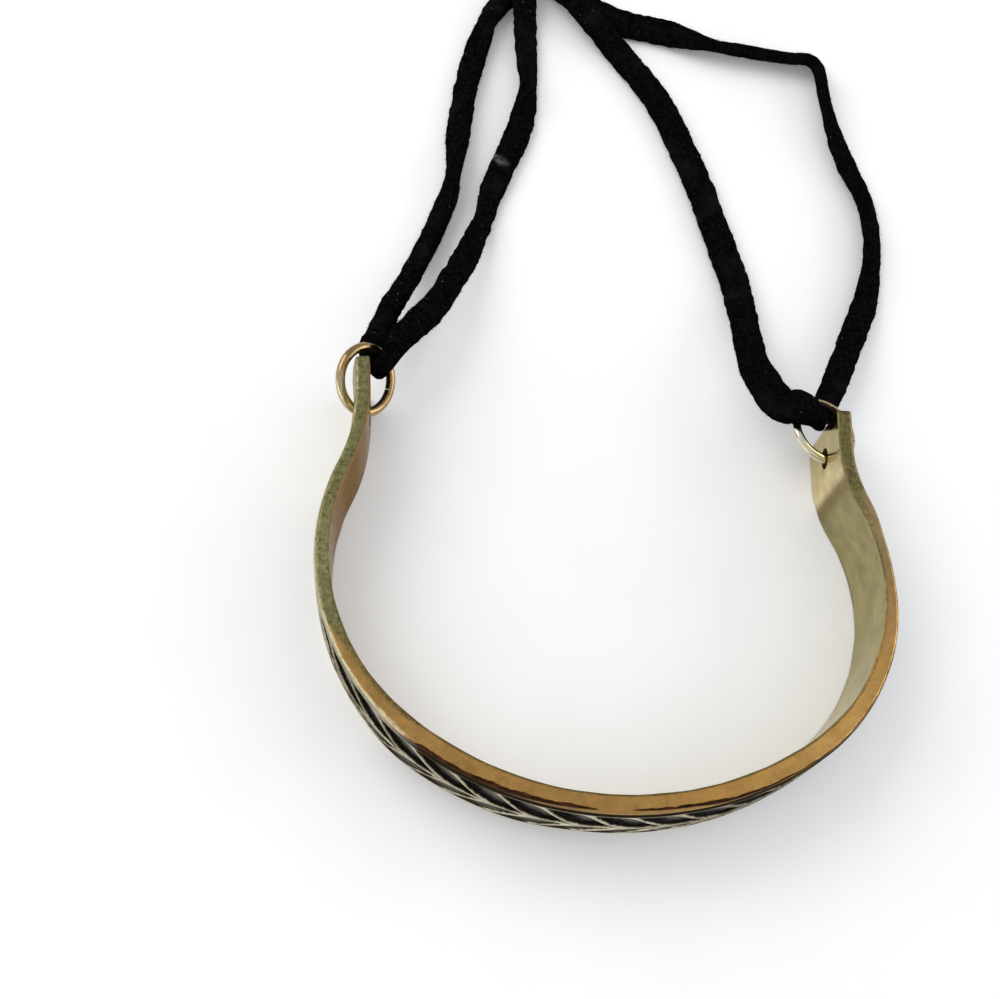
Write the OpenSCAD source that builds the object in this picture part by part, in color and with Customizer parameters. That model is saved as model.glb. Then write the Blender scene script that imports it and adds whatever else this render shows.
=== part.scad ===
// Enamelled brass cuff, bent by hand to an oval and left open, with a wire ring through each tip
// and a suede lace looped through each ring. Millimetres. The cuff lies on its side: Z runs
// across its width, its open end faces +Y, and the origin is under the middle of the metal.

/* [Cuff] */
// Width of the cuff, across the arm
cuff_w = 10.7; // [9:0.1:13]
// Thickness of the bare strip at the two tips
strip_t = 1.45; // [1.3:0.05:1.5]
// How far the bare strip's outer face bulges in its middle
strip_dome = 0.25; // [0.2:0.05:0.3]
// Thickness of the edge in the middle of the enamelled part
edge_t = 1.95; // [1.8:0.05:2.6]
// Bevel along the outer corners
bevel = 0.3; // [0.1:0.05:0.4]
// Diameter of the hole for a ring in each tip
hole_d = 3.2; // [3.1:0.1:3.3]

/* [Bends of the inner face, from the left tip to the right tip] */
// Straight stretch at the left tip
left_tip = 1.5; // [1:0.1:2]
// Radius of the outward bend after the left tip
left_return_r = 23.5; // [22:0.1:25]
// Radius of the left side
left_side_r = 22.2; // [22:0.1:22.5]
// Radius of the long enamelled bottom
bottom_r = 34; // [33.5:0.1:34.5]
// Radius of the right side
right_side_r = 20; // [19.8:0.1:20.3]
// Radius of the outward bend before the right tip
right_return_r = 14.7; // [14:0.1:15]
// Straight stretch at the right tip
right_tip = 4.4; // [4:0.1:5]

/* [Relief] */
// Plain border beside each edge
border_w = 0.3; // [0.25:0.05:0.4]
// Width of the groove inside the border
groove_w = 0.3; // [0.25:0.05:0.35]
// Depth of that groove
groove_h = 0.15; // [0.1:0.05:0.2]
// Height of the leaf pattern above the border, at its outline
field_h = 0.15; // [0.1:0.01:0.25]
// Height of the leaf pattern above the border, at its middle rib
dome_h = 0.47; // [0.4:0.01:0.55]

/* [Enamel cells] */
// Pairs of leaf cells along the cuff
pairs = 22; // [21:1:23]
// Width of the middle rib
rib_w = 0.4; // [0.3:0.05:0.6]
// Width of a slanting vein
vein_w = 0.65; // [0.5:0.05:0.8]
// Width of the leaf outline, beside the groove
outline_w = 0.35; // [0.3:0.05:0.45]
// Run of a vein along the cuff, from the outline to the rib
vein_run = 3.6; // [3.2:0.1:3.8]
// Depth of a cell's floor below the pattern's surface
cell_deep = 0.45; // [0.4:0.05:0.5]
// Depth of the enamel's surface below the pattern's surface
enamel_low = 0.2; // [0.1:0.01:0.25]
// Gap between the enamel and the metal
gap = 0.03; // [0.02:0.01:0.05]

/* [Rings] */
// Diameter of the ring wire
wire_d = 1.05; // [0.9:0.05:1.05]
// Radius of each ring, to the middle of its wire
ring_r = 3.6; // [3.55:0.05:3.65]
// Width of the open split in each ring
split_w = 0.12; // [0.08:0.02:0.3]

/* [Laces] */
// Width of the suede lace, where it lies flat
lace_w = 3.1; // [3:0.1:3.2]
// Thickness of the suede lace
lace_t = 1.5; // [1.2:0.1:1.5]
// Width of the knot that gathers the laces
knot_w = 8.4; // [7.6:0.2:9]
// Height of the knot
knot_h = 4.4; // [4:0.2:5]
// Length of one of the knot's three turns
knot_turn = 2.2; // [1.8:0.1:2.6]

/* [Hidden] */
$fn = 64;

// The inner face starts here, at the left tip, and sets off in this direction
start_at = [-26.2, 23];
start_heading = -82;
// Each bend's length or radius, and how far it turns: 0 for a straight stretch, + to the left
BENDS = [
    [left_tip, 0],
    [left_return_r, -29],
    [left_side_r, 73],
    [bottom_r, 73],
    [right_side_r, 82.5],
    [right_return_r, -27.5],
    [right_tip, 0],
];
LEFT_SIDE = 2;
BOTTOM = 3;
RIGHT_SIDE = 4;
mid_z = cuff_w / 2;

function along(a) = [cos(a), sin(a)];
function side(turn) = turn > 0 ? 1 : -1;
function flat(v, z) = [v.x, v.y, z];

// Heading and place on the inner face where bend i starts, and the centre of a curved bend
function heading(i) = i == 0 ? start_heading : heading(i - 1) + BENDS[i - 1][1];
function centre(i) = begin(i) + BENDS[i][0] * along(heading(i) + 90 * side(BENDS[i][1]));
function begin(i) =
    i == 0 ? start_at :
    BENDS[i - 1][1] == 0 ? begin(i - 1) + BENDS[i - 1][0] * along(heading(i - 1)) :
    centre(i - 1) + BENDS[i - 1][0] * along(heading(i) - 90 * side(BENDS[i - 1][1]));
function bend_length(i) =
    BENDS[i][1] == 0 ? BENDS[i][0] : BENDS[i][0] * abs(BENDS[i][1]) * PI / 180;

// The outer face of the enamelled part thins from edge_t in the middle to strip_t at its ends:
// each side's outer face is round a point moved this far from the inner face's centre
thinning = edge_t - strip_t;
function offset_for(r, turn) =
    thinning / (1 - cos(turn) + thinning * pow(sin(turn), 2) / (2 * r * (1 - cos(turn))));
function outer_shift(i) = i == BOTTOM ? 0 : offset_for(BENDS[i][0], BENDS[i][1]);
function outer_r(i) = BENDS[i][0] + edge_t - outer_shift(i);
function outer_centre(i) =
    centre(i) + outer_shift(i) * along(heading(i == RIGHT_SIDE ? i : i + 1) - 90);

// Blocks just ahead of the start of bend i and just behind it, which trim two bends to one plane
trim = 4;
slack = 5;
module at_start(i) {
    translate(flat(begin(i), -1)) rotate([0, 0, heading(i)]) children();
}
module ahead(i) { at_start(i) translate([0, -trim, 0]) cube([trim, 2 * trim, cuff_w + 2]); }
module behind(i) { at_start(i) translate([-trim, -trim, 0]) cube([trim, 2 * trim, cuff_w + 2]); }

// Carries a section, drawn as outward distance and height, along a straight or outward bend
// and trims it where the next bend takes over
module carry(i) {
    length = BENDS[i][0];
    turn = BENDS[i][1];
    first = i == 0;
    last = i == len(BENDS) - 1;
    difference() {
        if (turn == 0)
            translate(flat(begin(i), 0)) rotate([0, 0, heading(i) - 90]) rotate([90, 0, 0])
                translate([0, 0, first ? -length - 1 : -length])
                    linear_extrude(length + 1) children();
        else
            translate(flat(centre(i), 0))
                rotate_extrude(
                    angle = 2 * slack - turn, start = heading(i) + 90 + turn - slack, $fn = 128
                ) translate([length, 0]) mirror([1, 0]) children();
        if (!first) behind(i);
        if (!last) ahead(i + 1);
    }
}

// A parabola over the width, sampled at this many steps for each half
dome_steps = 4;
function bulge(z, half) = 1 - pow((mid_z - z) / half, 2);

module strip_section() {
    half = mid_z - bevel;
    polygon(concat(
        [[0, 0], [strip_t - bevel, 0]],
        [for (k = [0 : 2 * dome_steps])
            let (z = bevel + k * half / dome_steps) [strip_t + strip_dome * bulge(z, half), z]],
        [[strip_t - bevel, cuff_w], [0, cuff_w]]
    ));
}

// Outward distances and heights over the enamelled part, for the lower half of the width
field_z = bevel + border_w + groove_w;
field_half = mid_z - field_z;
function dome(z) = field_h + (dome_h - field_h) * bulge(z, field_half);
function dome_points(low) = [for (k = [0 : 2 * dome_steps])
    let (z = field_z + k * field_half / dome_steps) [dome(z) - low, z]];
inside_reach = 2.4;
outside_reach = 1;

module plate_section() {
    polygon(concat(
        [
            [-inside_reach, 0], [-bevel, 0], [0, bevel], [0, bevel + border_w],
            [-groove_h, bevel + border_w + groove_h / 2], [-groove_h, field_z - groove_h / 2],
        ],
        dome_points(0),
        [
            [-groove_h, cuff_w - field_z + groove_h / 2],
            [-groove_h, cuff_w - bevel - border_w - groove_h / 2],
            [0, cuff_w - bevel - border_w], [0, cuff_w - bevel], [-bevel, cuff_w],
            [-inside_reach, cuff_w],
        ]
    ));
}

// Section of a layer that starts this far below the pattern's surface
module layer_section(low, high) {
    points = dome_points(low);
    top = dome_points(high);
    polygon(concat(points, [for (k = [len(top) - 1 : -1 : 0]) top[k]]));
}

module turned_plate(i, more = slack) {
    translate(flat(outer_centre(i), 0))
        rotate_extrude(angle = BENDS[i][1] + 2 * more, start = heading(i) - 90 - more, $fn = 128)
            translate([outer_r(i), 0]) children();
}

module plate(i) {
    difference() {
        turned_plate(i) plate_section();
        translate(flat(centre(i), -1)) cylinder(r = BENDS[i][0], h = cuff_w + 2, $fn = 128);
        behind(i);
        ahead(i + 1);
    }
}

// The pattern's repeats are even along the enamelled part. At the rib, the first vein's middle is
// this many repeats from the part's start, and the last vein's middle this many from its end
first_vein = 1.15;
last_vein = 0.25;
enamel_length = bend_length(LEFT_SIDE) + bend_length(BOTTOM) + bend_length(RIGHT_SIDE);
pitch = enamel_length / (pairs + first_vein + last_vein);
function bend_of(s, i = LEFT_SIDE) =
    s > bend_length(i) && i < RIGHT_SIDE ? bend_of(s - bend_length(i), i + 1) : [i, s];
function turned(s) = let (b = bend_of(s)) heading(b[0]) + b[1] / BENDS[b[0]][0] * 180 / PI;
function on_inner(s) = let (b = bend_of(s)) centre(b[0]) + BENDS[b[0]][0] * along(turned(s) - 90);

// A cell's outline in (along the cuff, height from the rib), with its sharp corners cut
module cell_outline(shrink) {
    low = rib_w / 2 + shrink;
    high = field_half - outline_w - shrink;
    slope = vein_run / field_half;
    half_vein = (vein_w / 2 + shrink) * sqrt(1 + slope * slope);
    blunt = 0.4;
    function left(h) = half_vein - slope * h;
    function right(h) = pitch - half_vein - slope * h;
    polygon([
        [left(low) + blunt, low], [right(low), low], [right(low + blunt), low + blunt],
        [right(high) - blunt / 2, high], [left(high) + blunt, high],
        [left(high - blunt), high - blunt],
    ]);
}

// The cells whose middle is on bend i, as straight blocks square to the cuff's surface
module cell_blocks(i, shrink) {
    block_from = 0.6;
    block_to = 4;
    for (k = [0 : pairs - 1]) {
        s = (k + first_vein) * pitch;
        cell_middle = s + (pitch - vein_run) / 2;
        if (bend_of(cell_middle)[0] == i)
            for (up = [0, 1])
                translate(flat(on_inner(cell_middle), mid_z)) rotate([0, 0, turned(cell_middle)])
                    mirror([0, 0, up]) translate([0, -block_from, 0]) rotate([90, 0, 0])
                        linear_extrude(block_to - block_from)
                            translate([s - cell_middle, 0]) cell_outline(shrink);
    }
}

module cells(shrink, low, high) {
    for (i = [LEFT_SIDE, BOTTOM, RIGHT_SIDE])
        intersection() {
            cell_blocks(i, shrink);
            turned_plate(i, 4 * slack) layer_section(low, high);
        }
}

// Each ring's middle, the direction square to it, and its split, as an angle round the ring
left_ring_at = [-26.55, 21.9, 6.8];
left_ring_axis = [0.67, -0.31, 0.675];
left_split = 95;
right_ring_at = [24.9, 19.95, 5.25];
right_ring_axis = [0.31, 0.09, 0.945];
right_split = 100;
left_hole_y = 18.7;
right_hole_y = 16.4;

module tip_hole(x, y) {
    translate([x, y, mid_z]) rotate([0, 90, 0]) cylinder(d = hole_d, h = 6, center = true);
}

module cuff_band() {
    color("darkgoldenrod")
    difference() {
        union() {
            carry(0) strip_section();
            carry(1) strip_section();
            plate(LEFT_SIDE);
            plate(BOTTOM);
            plate(RIGHT_SIDE);
            carry(5) strip_section();
            carry(6) strip_section();
        }
        cells(0, cell_deep, -outside_reach);
        tip_hole(left_ring_at.x, left_hole_y);
        tip_hole(right_ring_at.x, right_hole_y);
    }
}

module enamel_cells() {
    color("darkslategray") cells(gap, cell_deep - gap, enamel_low);
}

// A wire ring square to its axis, with its split turned by an angle from the +Y side
module wire_ring(at, axis, split) {
    tilt = acos(axis.z / norm(axis));
    swing = atan2(axis.y, axis.x);
    opening = split_w / ring_r * 180 / PI;
    translate(at) rotate([0, tilt, swing])
        rotate_extrude(angle = 360 - opening, start = 90 - swing - split + opening / 2, $fn = 96)
            translate([ring_r, 0]) circle(d = wire_d, $fn = 24);
}

module left_ring() { color("peru") wire_ring(left_ring_at, left_ring_axis, left_split); }
module right_ring() { color("khaki") wire_ring(right_ring_at, right_ring_axis, right_split); }

// Each lace runs from the knot through its ring and back. A row is a place of its middle line in
// X, Y and Z, the roll of its flat side about its run in degrees, and its width there
LEFT_LACE = [
    [-10.4, 87.2, 1, 0, 3.1],
    [-10.4, 86.4, 1, 0, 3.1],
    [-11, 84.3, 1, 0, 3.1],
    [-12.3, 81.8, 1, 10, 3.1],
    [-13.9, 79, 1.2, 25, 3.1],
    [-15.1, 75.9, 1.4, 40, 3.1],
    [-16.3, 71.2, 0.9, 10, 3.1],
    [-17.6, 64.8, 1.2, 30, 3.1],
    [-18.2, 58.6, 1.3, 35, 3.1],
    [-18, 54.6, 1.6, 70, 3.1],
    [-18.3, 51.8, 1.6, 65, 3.1],
    [-18.8, 49.3, 1.4, 45, 3.1],
    [-20.5, 43.7, 1.6, 40, 3.1],
    [-22.7, 36.8, 3.6, 40, 3.1],
    [-24, 33.3, 4.8, 35, 3.1],
    [-25, 30.1, 5.8, 35, 3.1],
    [-25.7, 27.7, 6, 25, 3.1],
    [-26.3, 25.8, 6, -45, 3],
    [-26.2, 24.3, 6, -60, 2.6],
    [-25.45, 23.45, 6.6, -95, 2.4],
    [-24.8, 23.3, 7.4, -130, 2.4],
    [-23.9, 24.6, 8.2, -130, 2.8],
    [-22.8, 26.8, 8.3, -150, 3.1],
    [-20.9, 29.4, 7.6, -155, 3.1],
    [-19, 32.9, 6.2, -160, 3.1],
    [-17.6, 36.5, 4.8, -165, 3.1],
    [-16.3, 40, 3.6, -145, 3.1],
    [-14.1, 47, 1.6, -135, 3.1],
    [-12.3, 53.3, 1.1, -160, 3.1],
    [-10.6, 59.4, 1.1, -160, 3.1],
    [-9.8, 62.8, 1.1, -155, 3.1],
    [-9.3, 66.5, 1.7, -120, 3.1],
    [-9.6, 71.6, 1.5, -140, 3.1],
    [-10, 78, 1.9, -150, 3.1],
    [-10.2, 81.5, 2.8, -180, 3.1],
    [-10.4, 84.3, 2.8, -180, 3.1],
    [-10.4, 87.2, 2.8, -180, 3.1],
];
RIGHT_LACE = [
    [-7.2, 87.2, 2.8, 0, 3.1],
    [-7.2, 86.4, 2.8, 0, 3.1],
    [-6.8, 84.8, 2.7, 0, 3.1],
    [-5.7, 82.9, 2.7, 0, 3.1],
    [-4, 81, 2.6, 0, 3.1],
    [-1.6, 78, 2.6, 0, 3.1],
    [2, 74.5, 1, 0, 3.1],
    [7.2, 67.2, 0.9, 0, 3.1],
    [11, 58.4, 0.9, 0, 3.1],
    [13.8, 49.9, 0.9, 0, 3.1],
    [16.2, 41.4, 1.2, 0, 3.1],
    [17, 35.3, 2.4, 0, 3.1],
    [17.4, 28.8, 4.4, 0, 3.3],
    [18.5, 25.6, 5.4, 0, 3.5],
    [19.8, 22.7, 6.6, 0, 3.4],
    [21.2, 22, 7.9, 0, 3.2],
    [22.6, 21.6, 7.5, 10, 2.5],
    [23.8, 21.5, 5.9, 20, 2.2],
    [24.6, 21.8, 4.4, 70, 2],
    [25.3, 22.9, 2.9, 150, 2.5],
    [26.2, 24.7, 2.5, 180, 3],
    [27, 26.6, 3, 180, 3.1],
    [28.7, 30.7, 2.6, 180, 3.1],
    [31.1, 36.7, 1.8, 195, 3.1],
    [32.3, 39.7, 1.5, 210, 3.1],
    [33.1, 43.4, 1.4, 225, 3.1],
    [33.6, 48.3, 1.5, 230, 3.1],
    [33.1, 53.4, 1.4, 225, 3.1],
    [31.5, 58.6, 1.3, 215, 3.1],
    [30.2, 62.9, 1.4, 225, 3.1],
    [29, 68.8, 1.6, 250, 3.1],
    [28.5, 72.9, 1.6, 245, 3.1],
    [27, 75, 1.5, 230, 3.1],
    [24.2, 75, 1.5, 230, 3.1],
    [15.9, 75.9, 1.5, 230, 3.1],
    [8.7, 77.9, 0.9, 180, 3.1],
    [3.2, 78.9, 0.9, 180, 3.1],
    [-0.1, 80.4, 0.9, 180, 3.1],
    [-3.2, 82.1, 0.9, 180, 3.1],
    [-5.5, 83.7, 1, 180, 3.1],
    [-6.8, 85.2, 1, 180, 3.1],
    [-7.2, 86.4, 1, 180, 3.1],
    [-7.2, 87.2, 1, 180, 3.1],
];
// The rows inside the rings, where the two strands of a lace meet
LEFT_TURN = 19;
RIGHT_TURN = 17;
// The lace's section, as shares of half its width and half its thickness
LACE_SECTION = [
    [1, 0.45], [0.75, 1], [-0.75, 1], [-1, 0.45],
    [-1, -0.45], [-0.75, -1], [0.75, -1], [1, -0.45],
];

function unit(v) = v / norm(v);
function place(row) = [row[0], row[1], row[2]];
function run(rows, i) =
    unit(place(rows[min(i + 1, len(rows) - 1)]) - place(rows[max(i - 1, 0)]));
function lace_ring(rows, i) =
    let (
        along_it = run(rows, i),
        level = unit(cross([0, 0, 1], along_it)),
        roll = rows[i][3],
        across = level * cos(roll) + cross(along_it, level) * sin(roll),
        through = cross(along_it, across)
    )
    [for (c = LACE_SECTION)
        place(rows[i]) + c.x * rows[i][4] / 2 * across + c.y * lace_t / 2 * through];

// The stretch of a lace from one row to another
module strand(rows, from, to) {
    sides = len(LACE_SECTION);
    rings = to - from;
    points = [for (i = [from : to]) each lace_ring(rows, i)];
    walls = [for (i = [0 : rings - 1]) for (k = [0 : sides - 1])
        let (a = i * sides + k, b = i * sides + (k + 1) % sides)
        each [[a, b, b + sides], [a, b + sides, a + sides]]];
    ends = [
        [for (k = [sides - 1 : -1 : 0]) k],
        [for (k = [0 : sides - 1]) rings * sides + k],
    ];
    color("black") polyhedron(points, concat(walls, ends));
}

module left_lace_outer() { strand(LEFT_LACE, 0, LEFT_TURN); }
module left_lace_inner() { strand(LEFT_LACE, LEFT_TURN, len(LEFT_LACE) - 1); }
module right_lace_inner() { strand(RIGHT_LACE, 0, RIGHT_TURN); }
module right_lace_outer() { strand(RIGHT_LACE, RIGHT_TURN, len(RIGHT_LACE) - 1); }

// Three turns of lace round the four strands, with the strands' cut ends behind them
knot_at = [-8.8, LEFT_LACE[0].y, 0];
knot_neck = 0.25;
tail_l = 4;
tail_gap = 0.3;

module flat_turn(w, h, l) {
    rotate([90, 0, 0]) translate([0, 0, -l]) linear_extrude(l)
        for (x = [-1, 1]) {
            translate([x * (w - h) / 2, 0]) circle(d = h);
            translate([x * (w - h) / 4, 0]) square([(w - h) / 2 + 0.01, h], center = true);
        }
}

module lace_knot() {
    color("black") translate(knot_at) translate([0, 0, knot_h / 2]) {
        for (k = [0 : 2]) translate([0, k * knot_turn, 0])
            flat_turn(knot_w, knot_h, knot_turn - knot_neck);
        flat_turn(knot_w - 4 * knot_neck, knot_h - 4 * knot_neck, 3 * knot_turn);
        for (x = [-1, 1]) for (z = [-1, 1])
            translate([x * (lace_w + tail_gap) / 2, 3 * knot_turn - 1, z * (lace_t + tail_gap) / 2])
                translate([-lace_w / 2, 0, -lace_t / 2]) cube([lace_w, tail_l + 1, lace_t]);
    }
}

cuff_band();
enamel_cells();
left_ring();
right_ring();
left_lace_outer();
left_lace_inner();
right_lace_inner();
right_lace_outer();
lace_knot();
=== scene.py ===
import math
from functools import partialmethod

import bpy
import bmesh
import numpy as np
from mathutils import Matrix, Vector, noise


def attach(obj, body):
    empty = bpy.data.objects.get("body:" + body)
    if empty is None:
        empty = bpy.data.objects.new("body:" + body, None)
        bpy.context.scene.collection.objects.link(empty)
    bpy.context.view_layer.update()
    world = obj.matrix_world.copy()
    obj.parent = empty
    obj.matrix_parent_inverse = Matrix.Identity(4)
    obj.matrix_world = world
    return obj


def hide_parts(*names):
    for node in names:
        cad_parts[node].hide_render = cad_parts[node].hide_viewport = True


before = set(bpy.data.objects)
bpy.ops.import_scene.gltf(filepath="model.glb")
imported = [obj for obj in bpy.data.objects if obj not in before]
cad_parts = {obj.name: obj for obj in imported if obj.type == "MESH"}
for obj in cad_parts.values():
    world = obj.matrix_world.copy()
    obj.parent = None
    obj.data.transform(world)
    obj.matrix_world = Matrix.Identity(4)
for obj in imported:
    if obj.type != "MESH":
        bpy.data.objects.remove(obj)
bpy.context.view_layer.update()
MM = 0.001


def add_object(name, data):
    made = bpy.data.objects.new(name, data)
    bpy.context.scene.collection.objects.link(made)
    return made


# Camera, at the photograph's place: where it stands, what it looks at, its roll and its lens
CAMERA_AT = (-20.785, -49.544, 147.760)
CAMERA_AIM = (-10.898, 11.491, 0)
CAMERA_ROLL = 11.96
CAMERA_LENS = 51.48


def make_camera():
    at, aim = Vector(CAMERA_AT) * MM, Vector(CAMERA_AIM) * MM
    ahead = (aim - at).normalized()
    level = ahead.cross(Vector((0, 0, 1))).normalized()
    right = Matrix.Rotation(math.radians(-CAMERA_ROLL), 3, ahead) @ level
    up = right.cross(ahead)
    camera = add_object("camera", bpy.data.cameras.new("camera"))
    camera.matrix_world = Matrix.Translation(at) @ Matrix((right, up, -ahead)).transposed().to_4x4()
    camera.data.lens = CAMERA_LENS
    camera.data.sensor_width = 36
    camera.data.clip_start = 0.01
    bpy.context.scene.camera = camera


make_camera()


# Meshes

def new_piece(name, points, faces, materials, slot=None):
    """A piece of the object from points in millimetres."""
    mesh = bpy.data.meshes.new(name)
    mesh.from_pydata((np.asarray(points) * MM).tolist(), [], faces)
    for material in materials:
        mesh.materials.append(material)
    piece = add_object(name, mesh)
    if slot:
        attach(piece, "root")
    return piece


def outward(mesh, join=False):
    """Turns every face outward, and joins doubled points if asked."""
    work = bmesh.new()
    work.from_mesh(mesh)
    if join:
        bmesh.ops.remove_doubles(work, verts=work.verts, dist=0.000001)
    bmesh.ops.recalc_face_normals(work, faces=work.faces)
    work.to_mesh(mesh)
    work.free()


def smooth(mesh, sharp_angle):
    mesh.shade_smooth()
    mesh.set_sharp_from_angle(angle=math.radians(sharp_angle))


def grid_faces(rows, across, wrap=False, first=0):
    """Quads over a grid of rows with this many points across each."""
    faces = []
    for i in range(rows - 1):
        for j in range(across if wrap else across - 1):
            a, b = first + i * across + j, first + i * across + (j + 1) % across
            faces.append((a, b, b + across, a + across))
    return faces


def tube_faces(rows, around):
    """Quads round a tube of rows, and a face over each of its ends."""
    faces = grid_faces(rows, around, wrap=True)
    faces.append(tuple(range(around - 1, -1, -1)))
    faces.append(tuple((rows - 1) * around + j for j in range(around)))
    return faces


def grid_rim(rows, across):
    """The numbers of a grid's points round its border."""
    rim = list(range(across)) + [i * across + across - 1 for i in range(1, rows)]
    rim += [(rows - 1) * across + j for j in range(across - 2, -1, -1)]
    return rim + [i * across for i in range(rows - 2, 0, -1)]


def keep_value(piece, name, values):
    """Keeps a value at each point, for the materials to read by its name."""
    attribute = piece.data.attributes.new(name, "FLOAT", "POINT")
    attribute.data.foreach_set("value", np.asarray(values, np.float32))


def rough_value(points, per_mm, seed):
    """Smooth noise at points in millimetres, from about -1 to 1."""
    shift = Vector((seed, 2 * seed, -seed))
    return np.array([noise.noise(Vector(p) * per_mm + shift) for p in points])


def unit(ways):
    return ways / np.linalg.norm(ways, axis=-1, keepdims=True)


def squarish(value, power):
    """A sine or cosine that stays near its ends for longer, which makes a circle squarer."""
    return np.sign(value) * np.abs(value) ** power


def smoothstep(low, high, value):
    t = np.clip((value - low) / (high - low), 0, 1)
    return t * t * (3 - 2 * t)


# Materials: small helpers that add nodes

class Look:
    """A material with one main shader and helpers that add nodes to it."""

    def __init__(self, name, **fixed):
        self.material = bpy.data.materials.new(name)
        self.material.use_nodes = True
        self.tree = self.material.node_tree
        self.shader = self.tree.nodes["Principled BSDF"]
        for socket, value in fixed.items():
            self.shader.inputs[socket.replace("_", " ")].default_value = value

    def add(self, kind, sockets=None, **settings):
        """A node of this kind with its sockets linked or set."""
        made = self.tree.nodes.new("ShaderNode" + kind)
        for key, value in settings.items():
            setattr(made, key, value)
        for socket, value in (sockets or {}).items():
            if isinstance(value, bpy.types.NodeSocket):
                self.tree.links.new(value, made.inputs[socket])
            else:
                made.inputs[socket].default_value = value
        return made

    def place(self):
        """The object's own coordinates in millimetres."""
        if not hasattr(self, "in_mm"):
            self.in_mm = self.scale(self.add("TexCoord").outputs["Object"], 1 / MM)
        return self.in_mm

    def noise(self, per_mm, detail=3, roughness=0.55, where=None):
        where = self.place() if where is None else where
        sockets = {"Vector": where, "Scale": per_mm, "Detail": detail, "Roughness": roughness}
        return self.add("TexNoise", sockets).outputs["Fac"]

    def streaks(self, run, away, per_run, per_away):
        """Noise drawn out along the cuff, over its run and its distance outward."""
        drawn_out = {0: self.times(run, per_run), 1: self.times(away, per_away)}
        return self.noise(1.0, 4, 0.6, self.add("CombineXYZ", drawn_out).outputs[0])

    def value(self, name):
        return self.add("Attribute", attribute_name=name).outputs["Fac"]

    def math(self, operation, *values, clamp=False):
        made = self.add("Math", dict(enumerate(values)), operation=operation)
        made.use_clamp = clamp
        return made.outputs[0]

    plus = partialmethod(math, "ADD")
    minus = partialmethod(math, "SUBTRACT")
    times = partialmethod(math, "MULTIPLY")
    times_plus = partialmethod(math, "MULTIPLY_ADD")
    larger = partialmethod(math, "MAXIMUM")

    def vector(self, operation, *values):
        return self.add("VectorMath", dict(enumerate(values)), operation=operation).outputs

    def span(self, value, low, high, out_low=0.0, out_high=1.0):
        """Maps value smoothly from [low, high] to [out_low, out_high]."""
        ends = dict(enumerate((value, low, high, out_low, out_high)))
        return self.add("MapRange", ends, interpolation_type="SMOOTHSTEP").outputs["Result"]

    def mix(self, share, first, second):
        """The first colour where the share is 0, and the second where it is 1."""
        first, second = (c if isinstance(c, bpy.types.NodeSocket) else (*c, 1) for c in (first, second))
        return self.add("Mix", {0: share, 6: first, 7: second}, data_type="RGBA").outputs[2]

    def centred(self, value):
        """Turns noise about a half into noise about nothing, from about -1 to 1."""
        return self.times_plus(value, 2.0, -1.0)

    def scale(self, vector, factor):
        """A colour or a place times a factor."""
        return self.add("VectorMath", {0: vector, "Scale": factor}, operation="SCALE").outputs["Vector"]

    def uneven(self, colour, noise, amount):
        """A colour made lighter and darker by noise."""
        return self.scale(colour, self.times_plus(self.centred(noise), amount, 1.0))

    def specked(self, colour, noise, low, high, speck, share=0.5):
        """A colour with specks of another where noise lies past a limit."""
        return self.mix(self.span(noise, low, high, 0, share), colour, speck)

    def tones(self, value, stops):
        """A colour read off straight blends between stops {place: colour}, and level past them."""
        low, high = min(stops), max(stops)
        share = self.math("DIVIDE", self.minus(value, low), high - low, clamp=True)
        made = self.add("ValToRGB", {"Fac": share})
        ramp = made.color_ramp
        while len(ramp.elements) < len(stops):
            ramp.elements.new(0.5)
        for element, (at, colour) in zip(ramp.elements, stops.items()):
            element.position = (at - low) / (high - low)
            element.color = (*colour, 1)
        return made.outputs["Color"]

    def curve(self, value, stops):
        """A value read off straight stretches between stops {place: value}."""
        most = max(stops.values())
        shares = self.tones(value, {at: 3 * (level / most,) for at, level in stops.items()})
        return self.times(shares, most)

    def set(self, socket, value):
        self.tree.links.new(value, self.shader.inputs[socket])

    def bump(self, *layers):
        """Bumps the surface by (height, depth in millimetres) layers."""
        normal = None
        for height, depth in layers:
            sockets = {"Height": height, "Distance": depth * MM, "Strength": 1.0}
            if normal is not None:
                sockets["Normal"] = normal
            normal = self.add("Bump", sockets).outputs["Normal"]
        self.set("Normal", normal)


def suede_look():
    look = Look("suede", Roughness=1.0, Specular_IOR_Level=0.0)
    nap = look.noise(2.2, 5, 0.7)
    patches = look.noise(0.25, 3)
    black = look.mix(look.span(nap, 0.35, 0.7), (0.0012, 0.0012, 0.0014), (0.006, 0.006, 0.006))
    black = look.specked(black, patches, 0.5, 0.75, (0.01, 0.01, 0.0095))
    linty = look.specked(black, look.noise(3.1, 1, 0.4), 0.78, 0.8, (0.12, 0.12, 0.12), 1)
    worn = look.times(look.value("worn"), look.span(look.noise(1.1, 4, 0.65), 0.3, 0.65, 0.15, 1))
    look.set("Base Color", look.mix(worn, linty, (0.3, 0.295, 0.28)))
    look.bump((nap, 0.08), (look.noise(7, 3, 0.7), 0.03))
    return look.material


suede = suede_look()


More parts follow.
